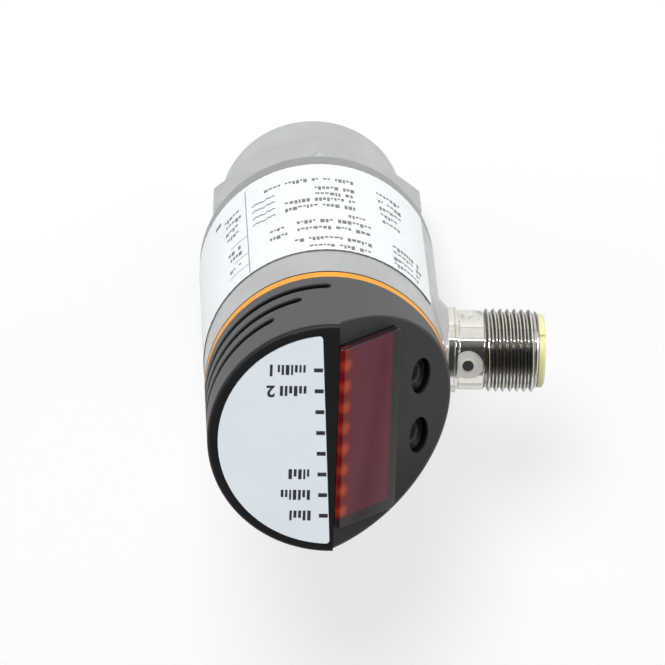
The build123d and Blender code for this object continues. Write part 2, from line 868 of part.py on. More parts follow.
def build_parts():
    """Every piece of the sensor by the name of its node."""
    parts = {
        "process_connection": make_process_connection(),
        "restrictor_screw": make_restrictor(),
        "measuring_cell": disc(cell_radius, cell_floor, cell_top),
        "cell_seal": seal_ring(cell_seal_radius, cell_seal_section, cell_floor - cell_seal_section / 2),
        "cell_clamp_ring": make_clamp_ring(),
        "cell_board": make_cell_board(),
        "swivel_seal": seal_ring(
            spigot_radius - swivel_seal_section / 2,
            swivel_seal_section,
            swivel_seal_middle,
        ),
        "retaining_ring": make_retaining_ring(),
        "stop_pin": make_stop_pin(),
        "housing_sleeve": make_sleeve(),
        "wrap_label": make_label(),
        "accent_ring": tube(body_radius + fit_play, cap_spigot_radius + fit_play, sleeve_top, cap_bottom),
        "connector_shell": make_connector_shell(),
        "connector_seal": connector_frame * seal_ring(
            (shell_stem_diameter + connector_seal_section) / 2,
            connector_seal_section,
            boss_seal_middle,
        ),
        "connector_nut": make_connector_nut(),
        "contact_carrier": make_contact_carrier(),
        "contact_pins": make_contact_pins(),
        "connector_board": make_connector_board(),
        "main_board": make_main_board(),
        "board_carrier": make_board_carrier(),
        "cell_lead": make_cell_lead(),
        "board_link": make_board_link(),
        "display_cap": make_cap(),
        "cap_seal": seal_ring(
            cap_spigot_radius - cap_seal_section / 2,
            cap_seal_section,
            cap_seal_middle,
        ),
        "scale_plate": make_plate(),
        "window_pane": make_pane(),
        "display_board": make_display_board(),
        "status_lights": make_status_lights(),
        "light_guide": make_light_guide(),
        "display_module": make_display_module(),
    }
    for name, place in button_places():
        parts[name + "_button"] = make_button(place)
        parts[name + "_switch"] = make_switch(place)
    return parts


os.makedirs("parts", exist_ok=True)
for node, shape in build_parts().items():
    export_step(shape, f"parts/{node}.step")
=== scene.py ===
"""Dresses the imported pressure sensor: turned steel, printed label, moulded cap, window and plug."""

import math
import random

import bmesh
import bpy
from mathutils import Matrix, Vector


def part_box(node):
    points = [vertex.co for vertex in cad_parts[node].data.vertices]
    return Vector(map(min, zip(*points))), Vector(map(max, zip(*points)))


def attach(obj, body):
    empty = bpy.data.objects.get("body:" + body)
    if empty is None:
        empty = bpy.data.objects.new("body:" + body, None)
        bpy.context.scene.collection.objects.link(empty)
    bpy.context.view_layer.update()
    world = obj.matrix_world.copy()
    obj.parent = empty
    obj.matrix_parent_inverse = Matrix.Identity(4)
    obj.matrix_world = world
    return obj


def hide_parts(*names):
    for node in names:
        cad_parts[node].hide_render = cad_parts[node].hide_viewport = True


bl_info = {
    "name": "Pressure Sensor",
    "version": (1, 0, 0),
    "blender": (4, 5, 0),
    "location": "View3D > Sidebar > Sensor",
    "description": "Builds the finished looks of a pressure sensor round its packed solids",
    "category": "Object",
}

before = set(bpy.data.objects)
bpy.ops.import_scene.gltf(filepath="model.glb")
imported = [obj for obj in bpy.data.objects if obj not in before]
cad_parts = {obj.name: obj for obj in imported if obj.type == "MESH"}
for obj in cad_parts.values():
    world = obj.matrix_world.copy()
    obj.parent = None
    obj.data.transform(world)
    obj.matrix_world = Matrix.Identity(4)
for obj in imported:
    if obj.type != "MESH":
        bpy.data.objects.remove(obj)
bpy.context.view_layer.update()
MM = 0.001
TURN = 2 * math.pi

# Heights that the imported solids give, in metres
SLEEVE_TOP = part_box("accent_ring")[0].z
CAP_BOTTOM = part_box("accent_ring")[1].z
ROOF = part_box("display_cap")[1].z
PLATE_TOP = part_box("scale_plate")[1].z
PLUG_LOW, PLUG_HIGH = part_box("connector_shell")
PLUG_HEIGHT = (PLUG_LOW.z + PLUG_HIGH.z) / 2
LABEL_LOW, LABEL_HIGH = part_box("wrap_label")
HEXAGON_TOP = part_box("housing_sleeve")[0].z / MM
CAP_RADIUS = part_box("display_cap")[1].y
BORE_DEPTH = 13 * MM

# The plug's spot faces, their holes and the thread's start, from the body's axis, in millimetres
SPOT_MIDDLE = 20.05
SPOT_FLOOR = 5.12
SPOT_HOLE = 0.8
SPOT_HOLE_DEPTH = 0.25
SPOT_CUT_LOW = 1.52
SPOT_CUT_HIGH = 2.07
THREAD_START = 22.3

# Half widths and half lengths of the oval buttons and their skirts, in millimetres
BUTTON_HALF = (1.53, 2.38)
SKIRT_HALF = (1.95, 2.80)

# The plug's own axes, with Z out of the body, and the slanted face's, with X down the slope
SLANT = math.radians(42.5)
SLANT_TOP = ROOF - 0.6 * MM
BUTTON_REACH = CAP_RADIUS / math.cos(SLANT) - 6.04 * MM
PLUG_FRAME = Matrix(((0, 0, -1, 0), (0, 1, 0, 0), (1, 0, 0, PLUG_HEIGHT), (0, 0, 0, 1)))
SLANT_FRAME = Matrix(
    (
        (-math.cos(SLANT), 0, -math.sin(SLANT), 0),
        (0, -1, 0, 0),
        (-math.sin(SLANT), 0, math.cos(SLANT), SLANT_TOP),
        (0, 0, 0, 1),
    )
)


def length(name, description, default):
    """A size in metres for the sidebar."""
    return bpy.props.FloatProperty(
        name=name, description=description, default=default, unit="LENGTH", precision=5
    )


def colour(name, description, default):
    """A colour for the sidebar."""
    return bpy.props.FloatVectorProperty(
        name=name, description=description, default=default, subtype="COLOR", size=3, min=0, max=1
    )


class SensorSizes(bpy.types.PropertyGroup):
    """Sizes of the details that are added to the solids."""

    plug_crest: length("Plug thread crest", "Radius over the plug thread's turns", 5.9 * MM)
    plug_root: length("Plug thread root", "Radius under the plug thread's turns", 5.3 * MM)
    plug_pitch: length("Plug thread pitch", "Step of the plug thread", 1.0 * MM)
    plug_bore: length("Plug bore", "Radius inside the plug's shell", 4.8 * MM)
    spot_radius: length("Spot face", "Radius of the four spot faces on the plug's neck", 2.15 * MM)
    process_crest: length("Process thread crest", "Innermost radius of the process thread", 5.75 * MM)
    process_root: length("Process thread root", "Outermost radius of the process thread", 6.64 * MM)
    process_pitch: length("Process thread pitch", "Step of the process thread", 1.337 * MM)
    print_height: length("Print height", "How far print stands above its surface", 0.02 * MM)
    mark_height: length("Mark height", "Height of one mark in a row of small print", 1.2 * MM)
    pane_edge: length("Pane edge", "Rounding of the window pane's edges", 0.16 * MM)
    button_depth: length("Button depth", "How far the buttons' rims lie under the slanted face", 0.8 * MM)
    lamp_pitch: length("Lamp pitch", "Step of the row of lamps", 3.14 * MM)


class SensorColours(bpy.types.PropertyGroup):
    """Colours of the sensor's finishes."""

    steel: colour("Steel", "Turned stainless steel", (0.535, 0.545, 0.545))
    label: colour("Label", "Printed film", (0.74, 0.76, 0.77))
    ink: colour("Ink", "Small print on the label", (0.12, 0.12, 0.125))
    ring: colour("Ring", "Moulded ring under the cap", (0.78, 0.30, 0.008))
    cap: colour("Cap", "Moulded cap", (0.0060, 0.0065, 0.0078))
    plate: colour("Plate", "Scale plate", (0.72, 0.79, 0.84))
    plate_ink: colour("Plate ink", "Print on the scale plate", (0.02, 0.02, 0.025))
    pane: colour("Pane", "Window pane", (0.088, 0.006, 0.018))
    pane_frame: colour("Pane frame", "Dark frame printed on the pane", (0.012, 0.008, 0.010))
    lamp: colour("Lamps", "Lamps seen through the pane", (0.34, 0.040, 0.006))
    nickel: colour("Nickel", "Plated plug shell", (0.80, 0.79, 0.75))
    insert: colour("Insert", "Moulded insert of the plug", (0.68, 0.67, 0.33))
    rubber: colour("Rubber", "Buttons and seals", (0.004, 0.004, 0.005))
    board: colour("Board", "Circuit boards", (0.02, 0.16, 0.08))
    floor: colour("Floor", "Floor under the sensor", (0.94, 0.94, 0.94))


class Value:
    """A shader socket that adds its Math nodes where it stands in an expression."""

    def __init__(self, finish, socket):
        self.finish = finish
        self.socket = socket

    def maths(self, operation, *values):
        return self.finish.node("ShaderNodeMath", {"operation": operation}, *values)

    def __add__(self, other):
        return self.maths("ADD", self, other)

    def __radd__(self, other):
        return self.maths("ADD", other, self)

    def __sub__(self, other):
        return self.maths("SUBTRACT", self, other)

    def __rsub__(self, other):
        return self.maths("SUBTRACT", other, self)

    def __mul__(self, other):
        return self.maths("MULTIPLY", self, other)

    def __rmul__(self, other):
        return self.maths("MULTIPLY", other, self)

    def __truediv__(self, other):
        return self.maths("DIVIDE", self, other)

    def __gt__(self, other):
        return self.maths("GREATER_THAN", self, other)

    def __lt__(self, other):
        return self.maths("LESS_THAN", self, other)

    def __abs__(self):
        return self.maths("ABSOLUTE", self)

    def power(self, other):
        return self.maths("POWER", self, other)

    def softly(self, low, high):
        """0 below low and 1 above high, with a smooth step between."""
        settings = {"interpolation_type": "SMOOTHSTEP"}
        return self.finish.node("ShaderNodeMapRange", settings, self, low, high, 0.0, 1.0)

    def between(self, low, high, soft):
        """1 between low and high and 0 outside, with soft edges."""
        return self.softly(low - soft, low + soft) * (1 - self.softly(high - soft, high + soft))

    def greatest(self, other):
        return self.maths("MAXIMUM", self, other)

    def least(self, other):
        return self.maths("MINIMUM", self, other)


class Finish:
    """A material with one Principled shader, the nodes that feed it, and coordinates in millimetres."""

    def __init__(self, name, base, **plain):
        self.material = bpy.data.materials.new(name)
        self.material.use_nodes = True
        self.tree = self.material.node_tree
        self.shader = self.tree.nodes["Principled BSDF"]
        self.feed(**{"Base Color": base}, **plain)
        self.material.diffuse_color = (*base[:3], 1)
        where = self.node("ShaderNodeTexCoord", {}, out="Object")
        self.place = self.node("ShaderNodeVectorMath", {"operation": "SCALE"}, where, Scale=1 / MM)
        self.x, self.y, self.z = (
            self.node("ShaderNodeSeparateXYZ", {}, self.place, out=letter) for letter in "XYZ"
        )

    def plug(self, socket, value):
        """Links a value into a socket, or writes a plain number or colour on it."""
        if isinstance(value, Value):
            self.tree.links.new(value.socket, socket)
        elif socket.type == "SHADER":
            raise ValueError("a shader socket takes only a link")
        elif socket.type == "RGBA":
            socket.default_value = (*value[:3], 1)
        else:
            socket.default_value = value

    def node(self, kind, settings, *values, out=0, **named):
        """Adds a node, sets it up, fills its sockets in order or by name, and gives one output."""
        made = self.tree.nodes.new(kind)
        for key, value in settings.items():
            setattr(made, key, value)
        for socket, value in zip(made.inputs, values):
            self.plug(socket, value)
        for key, value in named.items():
            self.plug(made.inputs[key.replace("_", " ")], value)
        return Value(self, made.outputs[out])

    def feed(self, **sockets):
        """Fills the shader's own sockets."""
        for key, value in sockets.items():
            self.plug(self.shader.inputs[key.replace("_", " ")], value)
        return self

    def mix(self, factor, first, second):
        """A colour between two others."""
        made = self.tree.nodes.new("ShaderNodeMix")
        made.data_type = "RGBA"
        for index, value in ((0, factor), (6, first), (7, second)):
            self.plug(made.inputs[index], value)
        return Value(self, made.outputs[2])

    def vector(self, x, y, z):
        return self.node("ShaderNodeCombineXYZ", {}, x, y, z)

    def noise(self, scale, detail=2.0, roughness=0.5, vector=None):
        """Fractal noise from 0 to 1, with its scale in turns a millimetre."""
        return self.node(
            "ShaderNodeTexNoise",
            {},
            Vector=vector or self.place,
            Scale=scale,
            Detail=detail,
            Roughness=roughness,
        )

    def radius(self):
        """Distance from the body's axis."""
        return (self.x * self.x + self.y * self.y).power(0.5)

    def down_slant(self):
        """Distance down the slanted face from its top."""
        return (self.z - SLANT_TOP / MM) * -math.sin(SLANT) - self.x * math.cos(SLANT)

    def above_slant(self):
        """Height above the slanted face."""
        return (self.z - SLANT_TOP / MM) * math.cos(SLANT) - self.x * math.sin(SLANT)

    def bump(self, height, depth_mm, strength=1.0):
        """Raises the surface by a height from 0 to 1, to a depth in millimetres."""
        normal = self.node(
            "ShaderNodeBump", {}, Strength=strength, Distance=depth_mm * MM, Height=height
        )
        return self.feed(Normal=normal)


def shade(base, share):
    """A colour made darker or lighter by a share of itself."""
    return tuple(min(1.0, part * share) for part in base[:3])


def turned_steel(name, base, roughness=0.30, dull_band=(-2.0, -1.0), dull_share=1.0):
    """Stainless steel with the fine rings that a lathe leaves, and a duller band between two heights whose
    colour takes dull_share of the base; a share under 1 is painted shade.
    """
    steel = Finish(name, base, Metallic=1.0)
    rings = steel.noise(1.0, 3.0, 0.6, steel.vector(steel.radius() * 9, 0.0, steel.z * 11))
    cloud = steel.noise(0.16, 3.0)
    fine = steel.noise(7.0, 2.0)
    tone = (rings * 0.35 + cloud * 0.65).softly(0.25, 0.75)
    bright = steel.mix(tone, shade(base, 0.90), shade(base, 1.08))
    dull = steel.z.between(*dull_band, 0.1)
    # In the band the colour is scaled by dull_share; under 1 this is painted shade
    steel.feed(Base_Color=steel.mix(dull, bright, shade(base, dull_share)))
    steel.feed(Roughness=rings * 0.10 + fine * 0.05 + cloud * 0.08 + dull * 0.4 + (roughness - 0.1))
    return steel.bump(rings, 0.004, 0.5).material


def plated_nickel(name, base, size):
    """Bright plating over turned brass, with dull spot faces, painted shade in the holes and painted shade
    on the thread's flanks and roots.
    """
    nickel = Finish(name, base)
    along = abs(nickel.x + SPOT_MIDDLE)
    high = abs(nickel.z - PLUG_HEIGHT / MM)
    wide = abs(nickel.y)
    depth = high.greatest(wide)
    other = high.least(wide)
    reach = (high * high + wide * wide).power(0.5)
    rings = nickel.noise(1.0, 2.0, 0.5, nickel.vector(nickel.x * 16, 0.0, 0.0))
    cloud = nickel.noise(0.5, 4.0, 0.6)
    edge = size.spot_radius / MM + 0.05
    flat = (depth < SPOT_FLOOR + 0.03) * (other < edge) * (along < edge)
    from_hole = (along * along + other * other).power(0.5)
    # Painted shade: the shallow holes in the spot faces are coloured near black
    hole = (1 - from_hole.softly(SPOT_HOLE - 0.04, SPOT_HOLE + 0.04)) * (depth < SPOT_FLOOR - 0.03)
    root, crest = size.plug_root / MM, size.plug_crest / MM
    # Painted shade: the thread's flanks, and less its roots, are darkened between the turns
    flank = reach.softly(root - 0.02, root + 0.10) * (1 - reach.softly(crest - 0.24, crest - 0.06))
    valley = 1 - reach.softly(root, root + 0.08)
    thread_shade = (flank * 0.76 + valley * 0.25) * (nickel.x < -THREAD_START - 0.1)
    warm = (base[0] * 0.96, base[1] * 0.92, base[2] * 0.80)
    tone = nickel.mix(cloud.softly(0.45, 0.75), base, warm)
    tone = nickel.mix(flat * 0.9, tone, (0.60, 0.60, 0.56))
    tone = nickel.mix(thread_shade, tone, (0.035, 0.034, 0.026))
    nickel.feed(Base_Color=nickel.mix(hole, tone, (0.010, 0.006, 0.005)))
    nickel.feed(Roughness=rings * 0.03 + cloud * 0.04 + 0.03 + flat * 0.36 + thread_shade * 0.15)
    nickel.feed(Metallic=1 - flat * 0.85)
    return nickel.bump(rings * 0.7 + cloud * 0.3, 0.003, 0.4).material


def moulded(name, base, roughness, grain_mm=0.12, depth_mm=0.006, coat=0.0, cloudy=0.08):
    """Moulded plastic with a fine eroded grain and slight handling sheen."""
    plastic = Finish(name, base, Coat_Weight=coat)
    grain = plastic.noise(1 / grain_mm, 2.0, 0.6)
    cloud = plastic.noise(0.2, 3.0)
    tone = plastic.mix(cloud.softly(0.3, 0.7), shade(base, 1 - cloudy), shade(base, 1 + cloudy))
    plastic.feed(Base_Color=tone)
    plastic.feed(Roughness=grain * 0.14 + cloud * 0.10 + (roughness - 0.12))
    return plastic.bump(grain, depth_mm, 0.6).material


def cap_plastic(name, base):
    """Black moulded plastic with painted sheen on the side wall and the slanted face, and painted shade in
    the grip grooves.
    """
    cap = Finish(name, base, **{"Specular IOR Level": 0.32})
    grain = cap.noise(9.0, 2.0, 0.6)
    cloud = cap.noise(0.25, 3.0)
    radius, top = CAP_RADIUS / MM, ROOF / MM
    outer = cap.radius().softly(radius - 0.35, radius - 0.15)
    wall_sheen = outer * (1 - cap.z.softly(top - 0.75, top - 0.45))
    slanted = (1 - abs(cap.above_slant()).softly(0.25, 0.45)) * (1 - cap.z.softly(top - 0.5, top - 0.3))
    # Painted sheen: the slanted face is lightened, fading out across it towards +Y
    sheen_fade = 1 - cap.y.softly(2.0, 13.0)
    tone = cap.mix(slanted * sheen_fade, base, (0.019, 0.021, 0.021))
    # Painted sheen: the side wall below the top edge is lightened, with some cloud in it
    tone = cap.mix(wall_sheen * (cloud * 0.3 + 0.75), tone, (0.062, 0.064, 0.066))
    # Painted shade: the grip grooves are coloured near black
    groove_shade = (1 - outer) * (1 - slanted) * (cap.z < top - 1.0)
    tone = cap.mix(groove_shade, tone, (0.0006, 0.0006, 0.0006))
    cap.feed(Base_Color=tone, Roughness=grain * 0.16 + cloud * 0.10 + 0.36)
    return cap.bump(grain, 0.012, 0.6).material


def smooth_rubber(name, base):
    """Elastomer with a dull skin and dust in its grain."""
    rubber = Finish(name, base, **{"Specular IOR Level": 0.3})
    grain = rubber.noise(9.0, 3.0, 0.7)
    dust = rubber.noise(0.9, 4.0).softly(0.55, 0.85)
    rubber.feed(Base_Color=rubber.mix(dust * 0.4, base, shade(base, 3.0)))
    rubber.feed(Roughness=grain * 0.2 + 0.55)
    return rubber.bump(grain, 0.01, 0.5).material


def button_rubber(name, base, across):
    """Dull black elastomer with a painted highlight ring in a button's dish, for a button so far across the
    face.
    """
    rubber = Finish(name, base, **{"Specular IOR Level": 0.3})
    grain = rubber.noise(9.0, 3.0, 0.7)
    down = (rubber.down_slant() - BUTTON_REACH / MM) / BUTTON_HALF[0]
    along = (rubber.y + across / MM) / BUTTON_HALF[1]
    reach = (down * down + along * along).power(0.5)
    # Painted highlight: a thin paler ring in the dish, broken by the grain
    ring_highlight = 1 - abs(reach - 0.62).softly(0.03, 0.12)
    rubber.feed(Base_Color=rubber.mix(ring_highlight * (grain * 0.5 + 0.4), base, (0.075, 0.078, 0.078)))
    rubber.feed(Roughness=grain * 0.2 + 0.5)
    return rubber.bump(grain, 0.01, 0.5).material


def label_film(name, base):
    """White film with a slight ripple from the tube under it."""
    film = Finish(name, base, Coat_Weight=0.15, Coat_Roughness=0.3)
    ripple = film.noise(0.35, 2.0)
    fibre = film.noise(6.0, 3.0)
    film.feed(Base_Color=film.mix(ripple.softly(0.3, 0.7), shade(base, 0.985), shade(base, 1.01)))
    film.feed(Roughness=fibre * 0.12 + 0.38)
    return film.bump(ripple * 0.8 + fibre * 0.2, 0.012, 0.4).material


def printing_ink(name, base):
    """Ink with slightly uneven cover."""
    ink = Finish(name, base)
    cover = ink.noise(2.2, 3.0, 0.6)
    ink.feed(Base_Color=ink.mix(cover.softly(0.35, 0.75), base, shade(base, 1.7)))
    ink.feed(Roughness=cover * 0.2 + 0.4)
    return ink.bump(cover, 0.003, 0.3).material


def circuit_board(name, base):
    """Solder mask over copper tracks."""
    board = Finish(name, base)
    tracks = abs(board.noise(0.55, 0.0) * 9 - 4.5)
    track = (tracks - tracks.maths("FLOOR", tracks)).softly(0.42, 0.58)
    grain = board.noise(8.0, 2.0)
    board.feed(Base_Color=board.mix(track, base, shade(base, 1.9)))
    board.feed(Roughness=grain * 0.15 + 0.3)
    return board.bump(track, 0.02, 0.6).material


def ground_ceramic(name):
    """Dense pale ceramic with ground faces."""
    base = (0.86, 0.85, 0.80)
    ceramic = Finish(name, base)
    grain = ceramic.noise(5.0, 4.0, 0.7)
    speck = ceramic.noise(1.6, 2.0).softly(0.62, 0.78)
    ceramic.feed(Base_Color=ceramic.mix(speck * 0.3, base, (0.70, 0.68, 0.62)))
    ceramic.feed(Roughness=grain * 0.2 + 0.42)
    return ceramic.bump(grain, 0.004, 0.5).material


def window_glass(name, tint, lamp_pitch, near_side):
    """Dark red pane: a lit strip with the lamps, a dull field, a dark printed frame, and a painted
    highlight band on its dark near side.
    """
    pane = Finish(name, tint.pane, **{"Specular IOR Level": 0.36})
    down = pane.down_slant()
    # The near side wall takes the frame's dark colour, except a band 0.85 mm above the slanted face that
    # keeps the pane's colour: a painted highlight
    side = 1 - (pane.y - near_side / MM).softly(0.10, 0.16)
    highlight_band = 1 - abs(pane.above_slant() - 0.85).softly(0.10, 0.25)
    border = pane.y.softly(11.5, 12.3).greatest(down.softly(9.5, 10.3))
    border = border.greatest(side * (1 - highlight_band * 0.75))
    row = pane.y / (lamp_pitch / MM)
    step = abs(row - row.maths("FLOOR", row) - 0.5) * (lamp_pitch / MM)
    across = abs(down - 1.1)
    near = (step * step + across * across).power(0.5)
    glow = (1 - near.softly(0.1, 1.35)) * 0.75
    strip = 1 - down.softly(1.8, 2.6)
    grain = pane.noise(4.0, 3.0)
    cloud = pane.noise(0.16, 2.0)
    patchy = (cloud + grain * 0.5).softly(0.35, 1.0)
    field = pane.mix(patchy, shade(tint.pane, 0.82), shade(tint.pane, 1.12))
    lit = pane.mix(grain, (0.080, 0.002, 0.003), (0.150, 0.004, 0.006))
    inside = pane.mix(strip, field, lit)
    inside = pane.mix(glow * strip, inside, tint.lamp)
    pane.feed(Base_Color=pane.mix(border, inside, tint.pane_frame))
    pane.feed(Emission_Color=pane.mix(glow * strip * (1 - border), (0.0, 0.0, 0.0), tint.lamp))
    pane.feed(Emission_Strength=0.2)
    pane.feed(Roughness=grain * 0.06 + 0.14)
    return pane.bump(cloud, 0.004, 0.2).material


def pale_floor(name, base):
    """Plain pale floor with a barely uneven surface."""
    floor = Finish(name, base)
    cloud = floor.noise(0.01, 3.0)
    floor.feed(Base_Color=floor.mix(cloud, shade(base, 0.995), base))
    floor.feed(Roughness=cloud * 0.1 + 0.75)
    seen = floor.node("ShaderNodeLightPath", {}, out="Is Camera Ray") * 0.46
    white = floor.node("ShaderNodeEmission", {}, (1.0, 1.0, 1.0), 1.15)
    lit = Value(floor, floor.shader.outputs[0])
    mixed = floor.node("ShaderNodeMixShader", {}, seen, lit, white)
    floor.plug(floor.tree.nodes["Material Output"].inputs["Surface"], mixed)
    return floor.material


def sizes():
    return bpy.context.scene.sensor_sizes


def colours():
    return bpy.context.scene.sensor_colours


def piece(mesh_or_bm, name, material, body, slot, *replaced, smooth=35):
    """Makes an object at the origin of a finished mesh, gives it its finish and body, and hides the
    imported nodes that it replaces.
    """
    mesh = mesh_or_bm
    if isinstance(mesh_or_bm, bmesh.types.BMesh):
        mesh = bpy.data.meshes.new(name)
        mesh_or_bm.to_mesh(mesh)
        mesh_or_bm.free()
    made = bpy.data.objects.new(name, mesh)
    bpy.context.scene.collection.objects.link(made)
    mesh.materials.clear()
    mesh.materials.append(material)
    mesh.shade_smooth()
    mesh.set_sharp_from_angle(angle=math.radians(smooth))
    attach(made, body)
    if replaced:
        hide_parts(*replaced)
    return made


def paint(material, *nodes):
    """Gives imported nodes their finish."""
    for name in nodes:
        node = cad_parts[name]
        node.data.materials.clear()
        node.data.materials.append(material)


def spun(outline, steps=96):
    """A closed solid of revolution about Z, from a half section of (radius, height) in millimetres."""
    bm = bmesh.new()
    corners = [bm.verts.new((radius * MM, 0, height * MM)) for radius, height in outline]
    edges = [bm.edges.new(pair) for pair in zip(corners, corners[1:] + corners[:1])]
    bmesh.ops.spin(
        bm, geom=corners + edges, cent=(0, 0, 0), axis=(0, 0, 1), angle=TURN, steps=steps, use_merge=True
    )
    bmesh.ops.remove_doubles(bm, verts=bm.verts, dist=1e-7)
    bmesh.ops.recalc_face_normals(bm, faces=bm.faces)
    return bm


def helix(section, pitch, turns, steps=72):
    """A closed ridge: a section of (radius, height) points, in metres, screwed about Z."""
    bm = bmesh.new()
    corners = [bm.verts.new((radius, 0, height)) for radius, height in section]
    start = bm.faces.new(corners)
    count = round(turns * steps)
    bmesh.ops.spin(
        bm,
        geom=[start, *start.edges, *start.verts],
        cent=(0, 0, 0),
        axis=(0, 0, 1),
        dvec=(0, 0, pitch / steps),
        angle=TURN * count / steps,
        steps=count,
        use_merge=False,
    )
    bmesh.ops.recalc_face_normals(bm, faces=bm.faces)
    return bm


def joined(target, addition, place=None):
    """Adds one bmesh to another, in place, and frees the first."""
    if place is not None:
        addition.transform(place)
    mesh = bpy.data.meshes.new("addition")
    addition.to_mesh(mesh)
    addition.free()
    target.from_mesh(mesh)
    bpy.data.meshes.remove(mesh)


def cut(bm, cutter, name):
    """The mesh of one bmesh with another taken away."""
    made = []
    for label, source in ((name, bm), (name + "_cutter", cutter)):
        mesh = bpy.data.meshes.new(label)
        source.to_mesh(mesh)
        source.free()
        made.append(bpy.data.objects.new(label, mesh))
        bpy.context.scene.collection.objects.link(made[-1])
    body, tool = made
    modifier = body.modifiers.new("cut", "BOOLEAN")
    modifier.operation = "DIFFERENCE"
    modifier.solver = "EXACT"
    modifier.object = tool
    ready = body.evaluated_get(bpy.context.evaluated_depsgraph_get())
    mesh = bpy.data.meshes.new_from_object(ready)
    for done in made:
        old = done.data
        bpy.data.objects.remove(done)
        bpy.data.meshes.remove(old)
    mesh.name = name
    return mesh


def plate_mark(bm, centre, width, height, low, high, turn=0.0):
    """Adds a thin flat block, as printed ink is, to a bmesh."""
    made = bmesh.ops.create_cube(bm, size=1.0)["verts"]
    bmesh.ops.scale(bm, vec=(width, height, high - low), verts=made)
    bmesh.ops.rotate(bm, cent=(0, 0, 0), matrix=Matrix.Rotation(turn, 3, "Z"), verts=made)
    bmesh.ops.translate(bm, vec=(centre[0], centre[1], (low + high) / 2), verts=made)


def wrapped_mark(bm, start, end, low, high, radius, lift):
    """Adds a thin mark round the body between two angles in degrees and two heights."""
    segments = max(1, round(abs(end - start) / 4))
    made = bmesh.ops.create_grid(bm, x_segments=segments, y_segments=1, size=0.5)["verts"]
    for vert in made:
        angle = math.radians(start + (vert.co.x + 0.5) * (end - start))
        height = low + (vert.co.y + 0.5) * (high - low)
        vert.co = Vector((radius * math.cos(angle), radius * math.sin(angle), height))
    faces = list({face for vert in made for face in vert.link_faces})
    rise = bmesh.ops.extrude_face_region(bm, geom=faces)["geom"]
    grow = (radius + lift) / radius
    for vert in (item for item in rise if isinstance(item, bmesh.types.BMVert)):
        vert.co.x *= grow
        vert.co.y *= grow


class BuildConnection(bpy.types.Operator):
    """Finishes the process connection and adds the ridge of its inner thread"""

    bl_idname = "sensor.build_connection"
    bl_label = "Process connection"

    def execute(self, context):
        size = sizes()
        chamfer = (HEXAGON_TOP - 1.2, HEXAGON_TOP + 1.0)
        steel = turned_steel("connection steel", colours().steel, 0.36, chamfer, 1.06)
        paint(steel, "process_connection")
        root = size.process_root + 0.02 * MM
        half = size.process_pitch / 2
        section = [
            (root, -0.46 * size.process_pitch),
            (root, 0.46 * size.process_pitch),
            (size.process_crest + 0.1 * MM, 0.10 * size.process_pitch),
            (size.process_crest, 0.04 * size.process_pitch),
            (size.process_crest, -0.04 * size.process_pitch),
            (size.process_crest + 0.1 * MM, -0.10 * size.process_pitch),
        ]
        turns = (BORE_DEPTH - 2.4 * MM) / size.process_pitch
        ridge = helix(section, size.process_pitch, turns)
        bmesh.ops.translate(ridge, vec=(0, 0, half + 0.5 * MM), verts=ridge.verts)
        piece(ridge, "process_thread", steel, "connection", "connection_steel")
        return {"FINISHED"}


class BuildSleeve(bpy.types.Operator):
    """Finishes the housing sleeve, with painted shade on the steel below the label"""

    bl_idname = "sensor.build_sleeve"
    bl_label = "Housing sleeve"

    def execute(self, context):
        # Painted shade: the steel below the label is darkened to 0.76 of its colour
        shade_under_label = (-1.0, LABEL_LOW.z / MM)
        paint(turned_steel("sleeve steel", colours().steel, 0.26, shade_under_label, 0.76), "housing_sleeve")
        return {"FINISHED"}


# Rows of small print on the label: first angle, last angle and height in millimetres
LABEL_ROWS = (
    (-61.0, -106.4, 31.7),
    (-86.0, -106.4, 34.8),
    (-86.0, -106.2, 37.0),
    (-71.0, -105.4, 38.9),
    (-71.0, -105.2, 41.2),
    (-101.0, -113.3, 44.4),
    (-62.6, -71.7, 47.1),
    (-62.4, -71.4, 49.6),
    (-76.1, -113.4, 46.7),
    (-76.1, -113.0, 49.2),
    (-74.4, -112.5, 52.9),
    (-81.2, -112.6, 55.6),
    (-116.8, -131.1, 32.2),
    (-117.5, -131.2, 34.7),
    (-117.9, -130.8, 37.1),
    (-118.3, -130.5, 39.4),
    (-118.8, -130.3, 41.8),
    (-123.3, -142.0, 49.1),
    (-123.3, -141.6, 51.1),
    (-123.3, -141.0, 53.2),
    (-123.3, -140.5, 55.2),
    (-36.4, -47.4, 32.6),
    (-37.0, -47.6, 34.8),
    (-36.6, -46.0, 37.1),
    (-37.4, -47.2, 39.5),
    (-37.8, -47.6, 45.2),
    (-39.0, -47.2, 47.3),
    (-38.2, -47.4, 51.2),
)

# Thin rules on the label: first angle, last angle, low and high height in millimetres
LABEL_RULES = (
    (-50.35, -50.75, 27.4, 56.4),
    (-39.7, -50.1, 43.15, 43.32),
    (-41.8, -49.9, 49.20, 49.36),
    (-37.8, -50.3, 53.10, 53.26),
)

# Four wavy strokes on the label: heights in millimetres, then angles in degrees and the rise of each step
WAVE_HEIGHTS = (34.2, 36.4, 38.8, 41.05)
WAVE_START = -53.8
WAVE_STEP = 0.77
WAVE_REACH = 0.8
WAVE_RISES = (0.16, 0.04, -0.10, 0.04)

# Half of the label's wrap, in degrees, less a little at the ends
LABEL_REACH = 148.6


